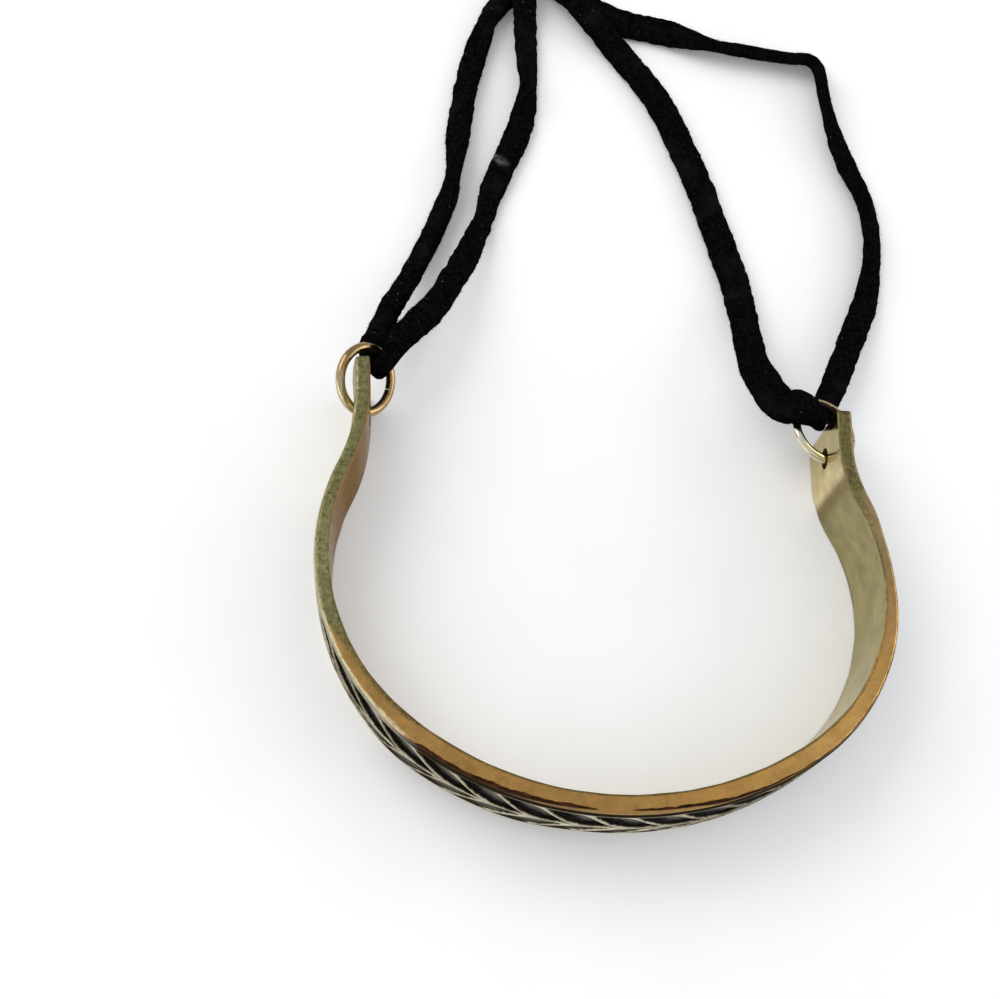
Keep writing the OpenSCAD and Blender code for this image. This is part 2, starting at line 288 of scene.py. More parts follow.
# Laces: each runs from the knot through its ring and back, as the part's source lays it. A row is a
# place of its middle line, the roll of its flat side in degrees, and its width
LACE_W = 3.1
LACE_T = 1.5
LEFT_LACE = [
    [-10.4, 87.2, 1, 0, 3.1],
    [-10.4, 86.4, 1, 0, 3.1],
    [-11, 84.3, 1, 0, 3.1],
    [-12.3, 81.8, 1, 10, 3.1],
    [-13.9, 79, 1.2, 25, 3.1],
    [-15.1, 75.9, 1.4, 40, 3.1],
    [-16.3, 71.2, 0.9, 10, 3.1],
    [-17.6, 64.8, 1.2, 30, 3.1],
    [-18.2, 58.6, 1.3, 35, 3.1],
    [-18, 54.6, 1.6, 70, 3.1],
    [-18.3, 51.8, 1.6, 65, 3.1],
    [-18.8, 49.3, 1.4, 45, 3.1],
    [-20.5, 43.7, 1.6, 40, 3.1],
    [-22.7, 36.8, 3.6, 40, 3.1],
    [-24, 33.3, 4.8, 35, 3.1],
    [-25, 30.1, 5.8, 35, 3.1],
    [-25.7, 27.7, 6, 25, 3.1],
    [-26.3, 25.8, 6, -45, 3],
    [-26.2, 24.3, 6, -60, 2.6],
    [-25.45, 23.45, 6.6, -95, 2.4],
    [-24.8, 23.3, 7.4, -130, 2.4],
    [-23.9, 24.6, 8.2, -130, 2.8],
    [-22.8, 26.8, 8.3, -150, 3.1],
    [-20.9, 29.4, 7.6, -155, 3.1],
    [-19, 32.9, 6.2, -160, 3.1],
    [-17.6, 36.5, 4.8, -165, 3.1],
    [-16.3, 40, 3.6, -145, 3.1],
    [-14.1, 47, 1.6, -135, 3.1],
    [-12.3, 53.3, 1.1, -160, 3.1],
    [-10.6, 59.4, 1.1, -160, 3.1],
    [-9.8, 62.8, 1.1, -155, 3.1],
    [-9.3, 66.5, 1.7, -120, 3.1],
    [-9.6, 71.6, 1.5, -140, 3.1],
    [-10, 78, 1.9, -150, 3.1],
    [-10.2, 81.5, 2.8, -180, 3.1],
    [-10.4, 84.3, 2.8, -180, 3.1],
    [-10.4, 87.2, 2.8, -180, 3.1],
]
RIGHT_LACE = [
    [-7.2, 87.2, 2.8, 0, 3.1],
    [-7.2, 86.4, 2.8, 0, 3.1],
    [-6.8, 84.8, 2.7, 0, 3.1],
    [-5.7, 82.9, 2.7, 0, 3.1],
    [-4, 81, 2.6, 0, 3.1],
    [-1.6, 78, 2.6, 0, 3.1],
    [2, 74.5, 1, 0, 3.1],
    [7.2, 67.2, 0.9, 0, 3.1],
    [11, 58.4, 0.9, 0, 3.1],
    [13.8, 49.9, 0.9, 0, 3.1],
    [16.2, 41.4, 1.2, 0, 3.1],
    [17, 35.3, 2.4, 0, 3.1],
    [17.4, 28.8, 4.4, 0, 3.3],
    [18.5, 25.6, 5.4, 0, 3.5],
    [19.8, 22.7, 6.6, 0, 3.4],
    [21.2, 22, 7.9, 0, 3.2],
    [22.6, 21.6, 7.5, 10, 2.5],
    [23.8, 21.5, 5.9, 20, 2.2],
    [24.6, 21.8, 4.4, 70, 2],
    [25.3, 22.9, 2.9, 150, 2.5],
    [26.2, 24.7, 2.5, 180, 3],
    [27, 26.6, 3, 180, 3.1],
    [28.7, 30.7, 2.6, 180, 3.1],
    [31.1, 36.7, 1.8, 195, 3.1],
    [32.3, 39.7, 1.5, 210, 3.1],
    [33.1, 43.4, 1.4, 225, 3.1],
    [33.6, 48.3, 1.5, 230, 3.1],
    [33.1, 53.4, 1.4, 225, 3.1],
    [31.5, 58.6, 1.3, 215, 3.1],
    [30.2, 62.9, 1.4, 225, 3.1],
    [29, 68.8, 1.6, 250, 3.1],
    [28.5, 72.9, 1.6, 245, 3.1],
    [27, 75, 1.5, 230, 3.1],
    [24.2, 75, 1.5, 230, 3.1],
    [15.9, 75.9, 1.5, 230, 3.1],
    [8.7, 77.9, 0.9, 180, 3.1],
    [3.2, 78.9, 0.9, 180, 3.1],
    [-0.1, 80.4, 0.9, 180, 3.1],
    [-3.2, 82.1, 0.9, 180, 3.1],
    [-5.5, 83.7, 1, 180, 3.1],
    [-6.8, 85.2, 1, 180, 3.1],
    [-7.2, 86.4, 1, 180, 3.1],
    [-7.2, 87.2, 1, 180, 3.1],
]
# The row at which each lace turns back inside its ring
LEFT_TURN = 19
RIGHT_TURN = 17
# A lace's skin: how far apart its sections are, the points round each, and how rounded they are
LACE_STEP = 0.3
LACE_AROUND = 28
LACE_SQUARE = 0.55
# How far the skin strays in and out, and how many fibres stand on each length
RAGGED, FINE_RAGGED = 0.17, 0.09
STRAND_FIBRES, KNOT_FIBRES, TAIL_FIBRES = 2600, 900, 260
# The rubbed spot: its place, and the way of the strand there
WORN_AT = (-12.5, 55.6)
WORN_WAY = (0.815, -0.58)
# Where the suede lies wider than the part's even tube or a little to one side of it, as
# (row, how much wider, how far to +X, how far to +Y)
LEFT_EASE = [
    (6.2, 0, 0, 0), (7.2, 0, 0.4, 0), (8.2, 0, 0.4, 0), (9.2, 0, 0, 0),
    (19.2, 0, 0, 0), (20, -0.45, 0, 0.15), (21, -0.45, 0.05, 0.2), (22, -0.1, 0, 0), (23, 0, 0, 0),
    (26.2, 0, 0, 0), (27, -0.6, -0.1, 0), (27.6, -0.2, -0.45, 0), (28.2, 0, -0.4, 0), (29, 0, 0, 0),
]
RIGHT_EASE = [
    (3, 0, 0, 0), (5, 0.35, 0, 0), (11, 0.35, 0, 0), (12, 0.2, 0, 0), (13, 0.5, -0.1, -0.2),
    (14, 0.9, 0, -0.4), (15, 1, 0, -0.5), (16, 0.8, 0.35, -0.4), (17, 0.5, 0.4, -0.15),
    (18, 0.5, 0.35, 0), (19, 0.2, 0.15, -0.2), (20, 0, 0, 0),
    (27.3, 0, 0, 0), (28, 0.35, -0.2, 0), (30.5, 0.4, -0.2, 0), (31.5, 0.3, 0, 0), (32.5, 0.5, 0, 0),
    (36, 0.5, 0, 0), (38, 0, 0, 0),
]
rng = np.random.default_rng(11)


def spline(rows, step):
    """A smooth curve through the rows, with a point at about every step along it."""
    rows = np.asarray(rows, float)
    padded = np.vstack([2 * rows[0] - rows[1], rows, 2 * rows[-1] - rows[-2]])
    out = []
    marks = [0]
    for i in range(1, len(padded) - 2):
        a, b, c, d = padded[i - 1:i + 3]
        count = max(2, int(round(np.linalg.norm((c - b)[:3]) / step)))
        for t in np.arange(count) / count:
            out.append(0.5 * (2 * b + (c - a) * t + (2 * a - 5 * b + 4 * c - d) * t ** 2
                              + (3 * b - a - 3 * c + d) * t ** 3))
        marks.append(len(out))
    out.append(rows[-1])
    return np.array(out), marks


def lace_frames(line):
    """For each point of a lace: the directions along it, across its flat side and through it."""
    run = unit(np.gradient(line[:, :3], axis=0))
    level = unit(np.cross([0, 0, 1], run))
    roll = np.radians(line[:, 3])[:, None]
    across = level * np.cos(roll) + np.cross(run, level) * np.sin(roll)
    return run, across, np.cross(run, across)


def lace_skin(line, across, through, thick, calm):
    """Sections of a suede lace along a line: worn to soft corners, with a ragged nap."""
    angle = np.arange(LACE_AROUND) * 2 * np.pi / LACE_AROUND
    u, v = squarish(np.cos(angle), LACE_SQUARE), squarish(np.sin(angle), LACE_SQUARE)
    uneven = 1 + calm * 0.06 * rough_value(line[:, :3], 0.16, 5)
    half_w = (line[:, 4] / 2 * uneven)[:, None, None]
    half_t = (thick / 2 * (2 - uneven))[:, None, None]
    skin = line[:, None, :3] + half_w * u[None, :, None] * across[:, None] \
        + half_t * v[None, :, None] * through[:, None]
    out = unit(u[None, :, None] * across[:, None] + v[None, :, None] * through[:, None])
    flat = skin.reshape(-1, 3)
    ragged = RAGGED * rough_value(flat, 0.8, 1) + FINE_RAGGED * rough_value(flat, 2.3, 2)
    edge = np.tile(np.abs(u) ** 6, len(line))
    push = ragged * (0.55 + 0.6 * edge) * np.repeat(calm, LACE_AROUND)
    skin = skin + push.reshape(len(line), LACE_AROUND, 1) * out
    skin[..., 2] = np.maximum(skin[..., 2], 0.02)
    return skin, out


def nap_fibres(skin, out, run, calm, count):
    """Short bent fibres, each a closed three-sided spike rooted in the skin."""
    points, faces = [], []
    rows, around = skin.shape[:2]
    for _ in range(count):
        i, j = rng.integers(1, rows - 1), rng.integers(around)
        if rng.random() > calm[i]:
            continue
        root = skin[i, j] - 0.03 * out[i, j]
        length = rng.uniform(0.1, 0.34)
        lean = run[i] * rng.normal(0, 0.6) + np.cross(run[i], out[i, j]) * rng.normal(0, 0.6)
        middle = root + (out[i, j] + 0.5 * lean) * length * 0.6
        tip = root + (out[i, j] + 1.1 * lean) * length
        if min(middle[2], tip[2]) < 0.02:
            continue
        side = np.cross(out[i, j], run[i])
        first = len(points)
        for centre, radius in ((root, 0.018), (middle, 0.013)):
            for k in range(3):
                angle = 2 * np.pi * k / 3
                points.append(centre + radius * (np.cos(angle) * run[i] + np.sin(angle) * side))
        points.append(tip)
        faces.append((first + 2, first + 1, first))
        for k in range(3):
            after = (k + 1) % 3
            faces.append((first + k, first + after, first + 3 + after, first + 3 + k))
            faces.append((first + 3 + k, first + 3 + after, first + 6))
    return points, faces


def napped(skin, out, run, calm, fibres):
    """Points and faces of a closed length of suede with its nap."""
    points = skin.reshape(-1, 3).tolist()
    more, spikes = nap_fibres(skin, out, run, calm, fibres)
    faces = tube_faces(*skin.shape[:2]) + [tuple(len(points) + k for k in face) for face in spikes]
    return points + [list(p) for p in more], faces


def suede_mesh(name, line, thick, calm, fibres, slot="lace"):
    """A closed length of suede with its nap, along a line of places, rolls and widths."""
    run, across, through = lace_frames(line)
    points, faces = napped(*lace_skin(line, across, through, thick, calm), run, calm, fibres)
    piece = new_piece(name, points, faces, [suede], slot)
    smooth(piece.data, 60)
    spot = np.array([[v.co.x, v.co.y] for v in piece.data.vertices]) / MM - np.array(WORN_AT)
    down, aside = spot @ WORN_WAY, spot @ (-WORN_WAY[1], WORN_WAY[0])
    rubbed = 0.45 * smoothstep(1, 0.25, np.hypot(down / 1.3, aside / 0.75))
    rubbed += 0.5 * smoothstep(1, 0.3, np.hypot((down + 0.9) / 0.5, aside / 0.5))
    keep_value(piece, "worn", rubbed)
    return piece


def strands(side, rows, turn, ease):
    """The two strands of one lace, each a cord from inside its ring to the knot."""
    line, marks = spline(rows, LACE_STEP)
    row_at = np.interp(np.arange(len(line)), marks, np.arange(len(rows)))
    eased, wider, to_x, to_y = zip(*ease)
    for column, amounts in ((4, wider), (0, to_x), (1, to_y)):
        line[:, column] += np.interp(row_at, eased, amounts)
    split = marks[turn]
    from_turn = np.abs(np.arange(len(line)) - split) * LACE_STEP
    from_end = np.minimum(np.arange(len(line)), len(line) - 1 - np.arange(len(line))) * LACE_STEP
    calm = smoothstep(1.5, 6, from_turn) * smoothstep(-0.5, 2, from_end)
    made = []
    for name, first, last in (("outer", 0, split), ("inner", split, len(line) - 1)):
        if side == "right":
            name = "inner" if name == "outer" else "outer"
        part = line[first:last + 1]
        strand = suede_mesh(f"{side}_strand_{name}", part, LACE_T, calm[first:last + 1], STRAND_FIBRES)
        path = part[:, :3] if first else part[::-1, :3]
        length = np.linalg.norm(np.diff(path, axis=0), axis=1).sum()
        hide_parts(f"{side}_lace_{name}")
        made.append((strand, path * MM, length * MM))
    return made


all_strands = strands("left", LEFT_LACE, LEFT_TURN, LEFT_EASE)
all_strands += strands("right", RIGHT_LACE, RIGHT_TURN, RIGHT_EASE)


# Knot: a lace wound three times round the four strands, whose cut ends come out behind it
KNOT_AT = (-8.8, 87.2, 2.2)
KNOT_W = 8.4
KNOT_H = 4.4
KNOT_TURN = 2.2
WRAP_TURNS = 3
WRAP_T = 0.9
WRAP_W = 2.05
WRAP_SQUARE = 0.75
# Along Y, where each tail starts inside the knot, and where it starts and stops to run level
TAIL_FROM, TAIL_LEVEL_FROM, TAIL_LEVEL_TO = 87.15, 89.5, 92.8
TAIL_W = 3.0
TAILS = [
    # x at the knot, height at the strand, height behind the knot, and x, height and y of the cut end
    [-10.4, 1, 1.3, -10.9, 0.95, 97.4],
    [-10.4, 2.8, 3.1, -10.1, 2.6, 97.7],
    [-7.2, 2.8, 3.1, -7.0, 2.75, 97.2],
    [-7.2, 1, 1.3, -6.6, 0.95, 97.6],
]


def knot_wrap():
    """A flat lace wound round the strands, its two ends tucked under its turns."""
    turns = np.linspace(0, WRAP_TURNS, WRAP_TURNS * 64 + 1)
    angle = turns * 2 * np.pi + np.pi
    tuck = 0.5 * (smoothstep(0.12, 0, turns) + smoothstep(WRAP_TURNS - 0.12, WRAP_TURNS, turns))
    half_w, half_h = (KNOT_W - WRAP_T) / 2 - tuck, (KNOT_H - WRAP_T) / 2 - tuck
    x, z = half_w * squarish(np.cos(angle), WRAP_SQUARE), half_h * squarish(np.sin(angle), WRAP_SQUARE)
    y = WRAP_W / 2 + (turns - 0.105 * np.sin(angle)) * (WRAP_TURNS * KNOT_TURN - WRAP_W) / WRAP_TURNS
    line = np.column_stack([KNOT_AT[0] + x, KNOT_AT[1] + y, KNOT_AT[2] + z])
    run = unit(np.gradient(line, axis=0))
    away = unit(np.column_stack([np.cos(angle) / half_w, 0 * angle, np.sin(angle) / half_h]))
    across = unit(np.cross(run, away))
    through = np.cross(across, run)
    rows = np.column_stack([line, 0 * turns, np.full(len(turns), WRAP_W)])
    calm = np.full(len(turns), 0.8)
    return napped(*lace_skin(rows, across, through, WRAP_T, calm), run, calm, KNOT_FIBRES)


def make_knot():
    points, faces = knot_wrap()
    wrap = new_piece("knot", points, faces, [suede])
    parts = [wrap]
    for k, (x, z_strand, z_back, x_cut, z_cut, y_cut) in enumerate(TAILS):
        rows = [
            [x, TAIL_FROM, z_strand, 0, LACE_W],
            [x, TAIL_LEVEL_FROM, z_back, 0, TAIL_W],
            [x, TAIL_LEVEL_TO, z_back, 0, TAIL_W],
            [x_cut, y_cut, z_cut, 0, LACE_W],
        ]
        line, _ = spline(rows, LACE_STEP)
        tail = suede_mesh(f"tail_{k}", line, LACE_T, np.ones(len(line)), TAIL_FIBRES, slot=None)
        parts.append(tail)
    with bpy.context.temp_override(active_object=wrap, selected_editable_objects=parts):
        bpy.ops.object.join()
    smooth(wrap.data, 60)
    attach(wrap, "root")
    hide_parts("lace_knot")
    return wrap


knot = make_knot()


# Cuff: the bends of its inner face, as in the part's source: length or radius, and turn in degrees
CUFF_W = 10.7
BEVEL = 0.3
START_AT = (-26.2, 23)
START_HEADING = -82
BENDS = [(1.5, 0), (23.5, -29), (22.2, 73), (34, 73), (20, 82.5), (14.7, -27.5), (4.4, 0)]
LEFT_SIDE, RIGHT_SIDE = 2, 4
MID_Z = CUFF_W / 2
# Made by hand, the cuff varies along its run: the thickness of its edge, how far its outer face
# bulges past the edge, and how far its lower edge leans outward. Past its ends, a table stays level
EDGE_THICK = {
    7: 1.6, 9: 1.45, 24: 1.5, 38: 1.6, 43: 1.95, 80: 1.95, 90: 1.85, 98: 1.7, 102: 1.45, 106: 1.2,
    110: 1.2, 112: 1.5, 115: 1.68,
}
BULGE = {7: 0.35, 10: 0.15, 28: 0.2, 34: 0.47, 76: 0.47, 80: 0.3, 84: 0.18, 126: 0.12}
LEAN = {34: 0, 40: 0.32, 56: 0.32, 61: 0.05, 74: 0.05, 78: 0}
BORDER_W = 0.3
GROOVE_W = 0.3
GROOVE_H = 0.15
BEAD_H = 0.04
FIELD_H = 0.15
PAIRS = 22
FIRST_VEIN = 1.15
LAST_VEIN = 0.25
RIB_W = 0.32
OUTLINE_W = 0.35
VEIN_W = 0.5
VEIN_RUN = 3.6
CELL_DEEP = 0.45
ENAMEL_LOW = 0.22
POOL_DIP = 0.08
POOL_ROOT = 0.04
FIELD_HALF = MID_Z - BEVEL - BORDER_W - GROOVE_W
BORDER_FROM = FIELD_HALF + GROOVE_W
LEFT_HOLE_AT = (-26.55, 18.7)
LEFT_HOLE_D = 3.2
RIGHT_HOLE_AT = (24.9, 16.55)
RIGHT_HOLE_D = 2.4
LEFT_HOLE_RUN = 4.3
HOLE_DIP = 0.2


def towards(degrees):
    angle = np.radians(degrees)
    return np.stack([np.cos(angle), np.sin(angle)], axis=-1)


def trace_bends():
    """Where each bend starts: its run, length, place, heading, centre, radius and side."""
    place, heading, run, found = np.array(START_AT, float), START_HEADING, 0.0, []
    for size, turn in BENDS:
        side = 1 if turn > 0 else -1
        length = size * abs(math.radians(turn)) if turn else size
        centre = place + size * towards(heading + 90 * side)
        found.append((run, length, place, heading, centre, size, side if turn else 0))
        place = centre + size * towards(heading + turn - 90 * side) if turn \
            else place + size * towards(heading)
        heading, run = heading + turn, run + length
    return found, run


TRACE, CUFF_RUN = trace_bends()
PLATE_FROM = TRACE[LEFT_SIDE][0]
PLATE_TO = TRACE[RIGHT_SIDE][0] + TRACE[RIGHT_SIDE][1]
PITCH = (PLATE_TO - PLATE_FROM) / (PAIRS + FIRST_VEIN + LAST_VEIN)


def inner_face(run):
    """Places on the inner face, and the outward directions there, for an array of runs."""
    place, facing = np.zeros(run.shape + (2,)), np.zeros(run.shape)
    for k, (start, length, begin, heading, centre, size, side) in enumerate(TRACE):
        here = (run >= start) | (k == 0)
        along = run[here] - start
        if side == 0:
            place[here] = begin + along[:, None] * towards(heading)
            facing[here] = heading - 90
        else:
            angle = heading + side * np.degrees(along / size)
            place[here] = centre + size * towards(angle - 90 * side)
            facing[here] = angle - 90
    return place, towards(facing)


def read_off(table, run):
    """A value from a table {run: value}, with its corners eased."""
    places, values = list(table), list(table.values())
    return sum(np.interp(run + step, places, values) for step in (-1, -0.5, 0, 0.5, 1)) / 5


def stand(run, level, away):
    """Points at a run, a height and a distance outward from the inner face."""
    place, way = inner_face(run)
    away = away + read_off(LEAN, run) * (1 - level / CUFF_W)
    return np.concatenate([place + away[..., None] * way, level[..., None]], axis=-1)


# Relief: the veins lean back from the rib to the outline. Each is a little uneven, made by hand
vein_rng = np.random.default_rng(5)
vein_nudge = vein_rng.uniform(-0.12, 0.12, (PAIRS + 1, 2))
vein_girth = vein_rng.uniform(0.85, 1.15, (PAIRS + 1, 2))
# How much further than the part's even veins each one leans, over the run
MORE_LEAN = {15: 0.9, 44: 0.95, 50: 0.6, 56: 0.3, 62: 0.25, 75: 0.45, 126: 0.4}
SLOPE = VEIN_RUN / FIELD_HALF


def vein_edge(k, side, height, end):
    """Run of a vein's left (end -1) or right (end 1) edge at a height from the rib."""
    near = np.clip(height, 0, FIELD_HALF) / FIELD_HALF
    waist = 1 - 0.3 * np.sin(np.pi * near) ** 2
    half = VEIN_W / 2 * math.hypot(1, SLOPE) * waist * vein_girth[k, side]
    bow = 0.25 * np.sin(np.pi * near)
    at_rib = PLATE_FROM + (k + FIRST_VEIN) * PITCH
    lean = -(VEIN_RUN + np.interp(at_rib, list(MORE_LEAN), list(MORE_LEAN.values()))) * near - bow
    return at_rib + vein_nudge[k, side] * near + lean + end * half


def soft_min(a, b, reach):
    near = np.maximum(reach - np.abs(a - b), 0) / reach
    return np.minimum(a, b) - near ** 2 * reach / 4


def cell_inset(to_left, to_right, height):
    """How far inside its cell a place is, with the cell's blunt corners rounded off."""
    lean = 1 / math.hypot(1, SLOPE)
    to_rib, to_outline = height - RIB_W / 2, FIELD_HALF - OUTLINE_W - height
    one = soft_min(to_left * lean, to_rib, 1.0)
    other = soft_min(to_right * lean, to_outline, 1.0)
    return soft_min(one, other, 0.1)


def relief_inset(run, rise):
    """How far inside the nearest cell each place is, below 0 on veins, rib and outline."""
    height, side = np.abs(rise), (rise < 0).astype(int)
    inset = np.full(run.shape, -1.0)
    for k in range(PAIRS):
        to_left = run - vein_edge(k, side, height, 1)
        to_right = vein_edge(k + 1, side, height, -1) - run
        inset = np.maximum(inset, cell_inset(to_left, to_right, height))
    return inset


def on_plate(run):
    """1 on the raised plate and 0 past its ends."""
    from_left = smoothstep(PLATE_FROM - 0.5, PLATE_FROM + 0.1, run)
    return from_left * smoothstep(PLATE_TO + 0.5, PLATE_TO - 0.1, run)


def outer_face(run, rise):
    """How far the outer face stands from the inner one, before its cells are sunk."""
    height, plate = np.abs(rise), on_plate(run)
    half = MID_Z - BEVEL - plate * (BORDER_W + GROOVE_W)
    domed = (read_off(BULGE, run) - plate * FIELD_H) * (1 - np.minimum(height / half, 1) ** 2)
    groove_mid = FIELD_HALF + GROOVE_W / 2
    groove = smoothstep(GROOVE_W / 2 + 0.02, GROOVE_W / 2 - 0.09, np.abs(height - groove_mid))
    inside = smoothstep(FIELD_HALF + 0.04, FIELD_HALF - 0.06, height)
    on_border = height - BORDER_FROM
    bead = BEAD_H * smoothstep(0, 0.13, on_border) * smoothstep(0.33, 0.18, on_border)
    past = np.clip(height - (MID_Z - BEVEL), 0, BEVEL)
    bevel = BEVEL - np.sqrt(np.maximum(BEVEL ** 2 - past ** 2, 0))
    dip = HOLE_DIP * smoothstep(2.8, 1.5, np.hypot(run - LEFT_HOLE_RUN, rise))
    relief = plate * (FIELD_H * inside - GROOVE_H * groove + bead)
    return read_off(EDGE_THICK, run) + domed + relief - bevel - dip


# The cuff's section, as rows round it: which face, and how far over that face
OUTER_HEIGHTS = np.array([
    0, 0.06, 0.12, 0.17, 0.22, 0.28, 0.36, 0.5, 0.75, 1.05, 1.4, 1.75, 2.1, 2.45, 2.8, 3.1, 3.35, 3.55,
    3.7, 3.82, 3.9, 3.97, 4.03, 4.1, 4.17, 4.24, 4.31, 4.38, 4.44, 4.49, 4.54, 4.6, 4.66, 4.71, 4.76,
    4.82, 4.9, 4.98, 5.05, 5.12, 5.2, 5.27, 5.33,
])
EDGE_STEPS = np.array([0.97, 0.9, 0.78, 0.62, 0.46, 0.3, 0.16, 0.06])
INNER_HEIGHTS = np.linspace(0.12, CUFF_W - 0.12, 12)
END_ROUND = 0.4
CORNER = 0.07
# How far the outer and the inner face stray from true
HAND, FINE_HAND = 0.03, 0.012
WAVE_MIDDLE, WAVE = 0.04, 0.07
# The cuff's columns: their shares of a cell, a vein and the rounding of a tip
CELL_SHARES = np.array([
    0.02, 0.045, 0.07, 0.1, 0.15, 0.22, 0.31, 0.4, 0.5, 0.6, 0.69, 0.78, 0.85, 0.9, 0.93, 0.955,
    0.98, 1,
])
VEIN_SHARES = np.linspace(0, 1, 9)[1:]
TIP_RUNS = np.array([0, 0.02, 0.06, 0.13, 0.24, END_ROUND])


def section_rows():
    """Rows as (face, value, height from the rib, side): outer face up, top, inner face down, bottom."""
    rows = [("outer", 0, -h, 1) for h in OUTER_HEIGHTS[::-1]]
    rows += [("outer", 0, h, 0) for h in OUTER_HEIGHTS[1:]]
    rows += [("edge", t, MID_Z, 0) for t in EDGE_STEPS]
    rows += [("inner", 0, z - MID_Z, 0) for z in INNER_HEIGHTS[::-1]]
    rows += [("edge", t, -MID_Z, 1) for t in EDGE_STEPS[::-1]]
    return rows


def column_runs(rows):
    """Runs of every column of the cuff's grid at every row. The columns follow the veins' edges."""
    heights = np.abs(np.array([r[2] for r in rows]))
    sides = np.array([r[3] for r in rows])
    follow = np.array([{"outer": 1.0, "edge": r[1], "inner": 0.0}[r[0]] for r in rows])
    columns = []

    def edge(k, end):
        at_rib = vein_edge(k, sides, 0 * heights, end)
        return at_rib + (vein_edge(k, sides, heights, end) - at_rib) * follow

    def fill(left, right, steps):
        columns.extend(left + (right - left) * t + 0 * heights for t in steps)

    lead, tail = PLATE_FROM - 1, PLATE_TO + 1
    fill(0, 1, TIP_RUNS)
    fill(END_ROUND, lead, np.linspace(0, 1, 42)[1:])
    fill(lead, edge(0, -1), np.linspace(0, 1, 26)[1:])
    for k in range(PAIRS + 1):
        fill(edge(k, -1), edge(k, 1), VEIN_SHARES)
        if k < PAIRS:
            fill(edge(k, 1), edge(k + 1, -1), CELL_SHARES)
    fill(edge(PAIRS, 1), tail, np.linspace(0, 1, 16)[1:])
    fill(tail, CUFF_RUN - END_ROUND, np.linspace(0, 1, 36)[1:])
    fill(CUFF_RUN - END_ROUND, CUFF_RUN, 1 - TIP_RUNS[::-1][1:] / END_ROUND)
    return np.array(columns)


def cuff_points():
    rows = section_rows()
    run = column_runs(rows)
    rise = np.array([r[2] for r in rows])[None, :] + 0 * run
    thick = read_off(EDGE_THICK, run)
    outer = outer_face(run, rise)
    sunk = CELL_DEEP * smoothstep(-0.13, 0.17, relief_inset(run, rise)) * on_plate(run)
    flat = np.column_stack([run.ravel(), rise.ravel(), 0 * run.ravel()])
    hand = HAND * rough_value(flat, 0.35, 3) + FINE_HAND * rough_value(flat, 1.4, 8)
    wave = WAVE_MIDDLE + WAVE * rough_value(flat * (1, 0.15, 1), 0.4, 6).reshape(run.shape)
    away = outer - sunk + hand.reshape(run.shape)
    for j, (face, value, _, _) in enumerate(rows):
        if face == "edge":
            low = wave[:, j] + CORNER
            away[:, j] = low + (thick[:, j] - BEVEL - low) * value
        if face == "inner":
            away[:, j] = wave[:, j]
    end = np.minimum(run, CUFF_RUN - run)
    near = np.clip(END_ROUND - end, 0, END_ROUND)
    cut = END_ROUND - np.sqrt(np.maximum(END_ROUND ** 2 - near ** 2, 0))
    away = np.clip(away, cut, outer - cut)
    level = np.clip(MID_Z + rise, cut, CUFF_W - cut)
    return stand(run, level, away)


def drill(piece, at, size):
    """Cuts a ring's hole through a tip of the cuff."""
    bpy.ops.mesh.primitive_cylinder_add(
        vertices=72, radius=size / 2 * MM, depth=8 * MM,
        location=(at[0] * MM, at[1] * MM, MID_Z * MM), rotation=(0, math.pi / 2, 0),
    )
    tool = bpy.context.object
    cut = piece.modifiers.new("hole", "BOOLEAN")
    cut.operation, cut.solver, cut.object = "DIFFERENCE", "EXACT", tool
    graph = bpy.context.evaluated_depsgraph_get()
    drilled = bpy.data.meshes.new_from_object(piece.evaluated_get(graph), depsgraph=graph)
    piece.modifiers.clear()
    piece.data = drilled
    bpy.data.objects.remove(tool)


def cuff_values(mesh):
    """Each point's run, distances from the inner face and the outer corner, and inset in the relief."""
    sample_runs = np.arange(0, CUFF_RUN, 0.05)
    samples, _ = inner_face(sample_runs)
    co = np.array([v.co for v in mesh.vertices]) / MM
    blocks = np.array_split(co[:, None, :2], len(co) // 2000 + 1)
    run = sample_runs[np.concatenate([((block - samples) ** 2).sum(-1).argmin(1) for block in blocks])]
    place, way = inner_face(run)
    away = ((co[:, :2] - place) * way).sum(-1)
    return {
        "run": run, "away": away, "rim": read_off(EDGE_THICK, run) - away,
        "inset": relief_inset(run, co[:, 2] - MID_Z), "plate": on_plate(run),
    }


# The metal's tones. The tables below give tones, widths and shares over the run
GOLD_DULL = (0.44, 0.245, 0.074)
GOLD = (0.54, 0.3, 0.084)
GOLD_BRIGHT = (0.6, 0.345, 0.107)
COPPER = (0.45, 0.26, 0.097)
OLIVE = (0.155, 0.148, 0.064)
OLIVE_PALE = (0.2, 0.185, 0.082)
OLIVE_BROWN = (0.2, 0.14, 0.05)
BRONZE = (0.17, 0.145, 0.056)
DARK_LINE = (0.15, 0.095, 0.033)
# CREAM, TAN and RIM_GOLD are tones of the highlight painted along the outer rim
CREAM = (0.64, 0.58, 0.35)
TAN = (0.31, 0.2, 0.09)
RIM_GOLD = (0.9, 0.68, 0.3)
DULL_RIM = (0.12, 0.085, 0.04)
STAIN = (0.03, 0.014, 0.008)
STAIN_RED = (0.16, 0.045, 0.018)


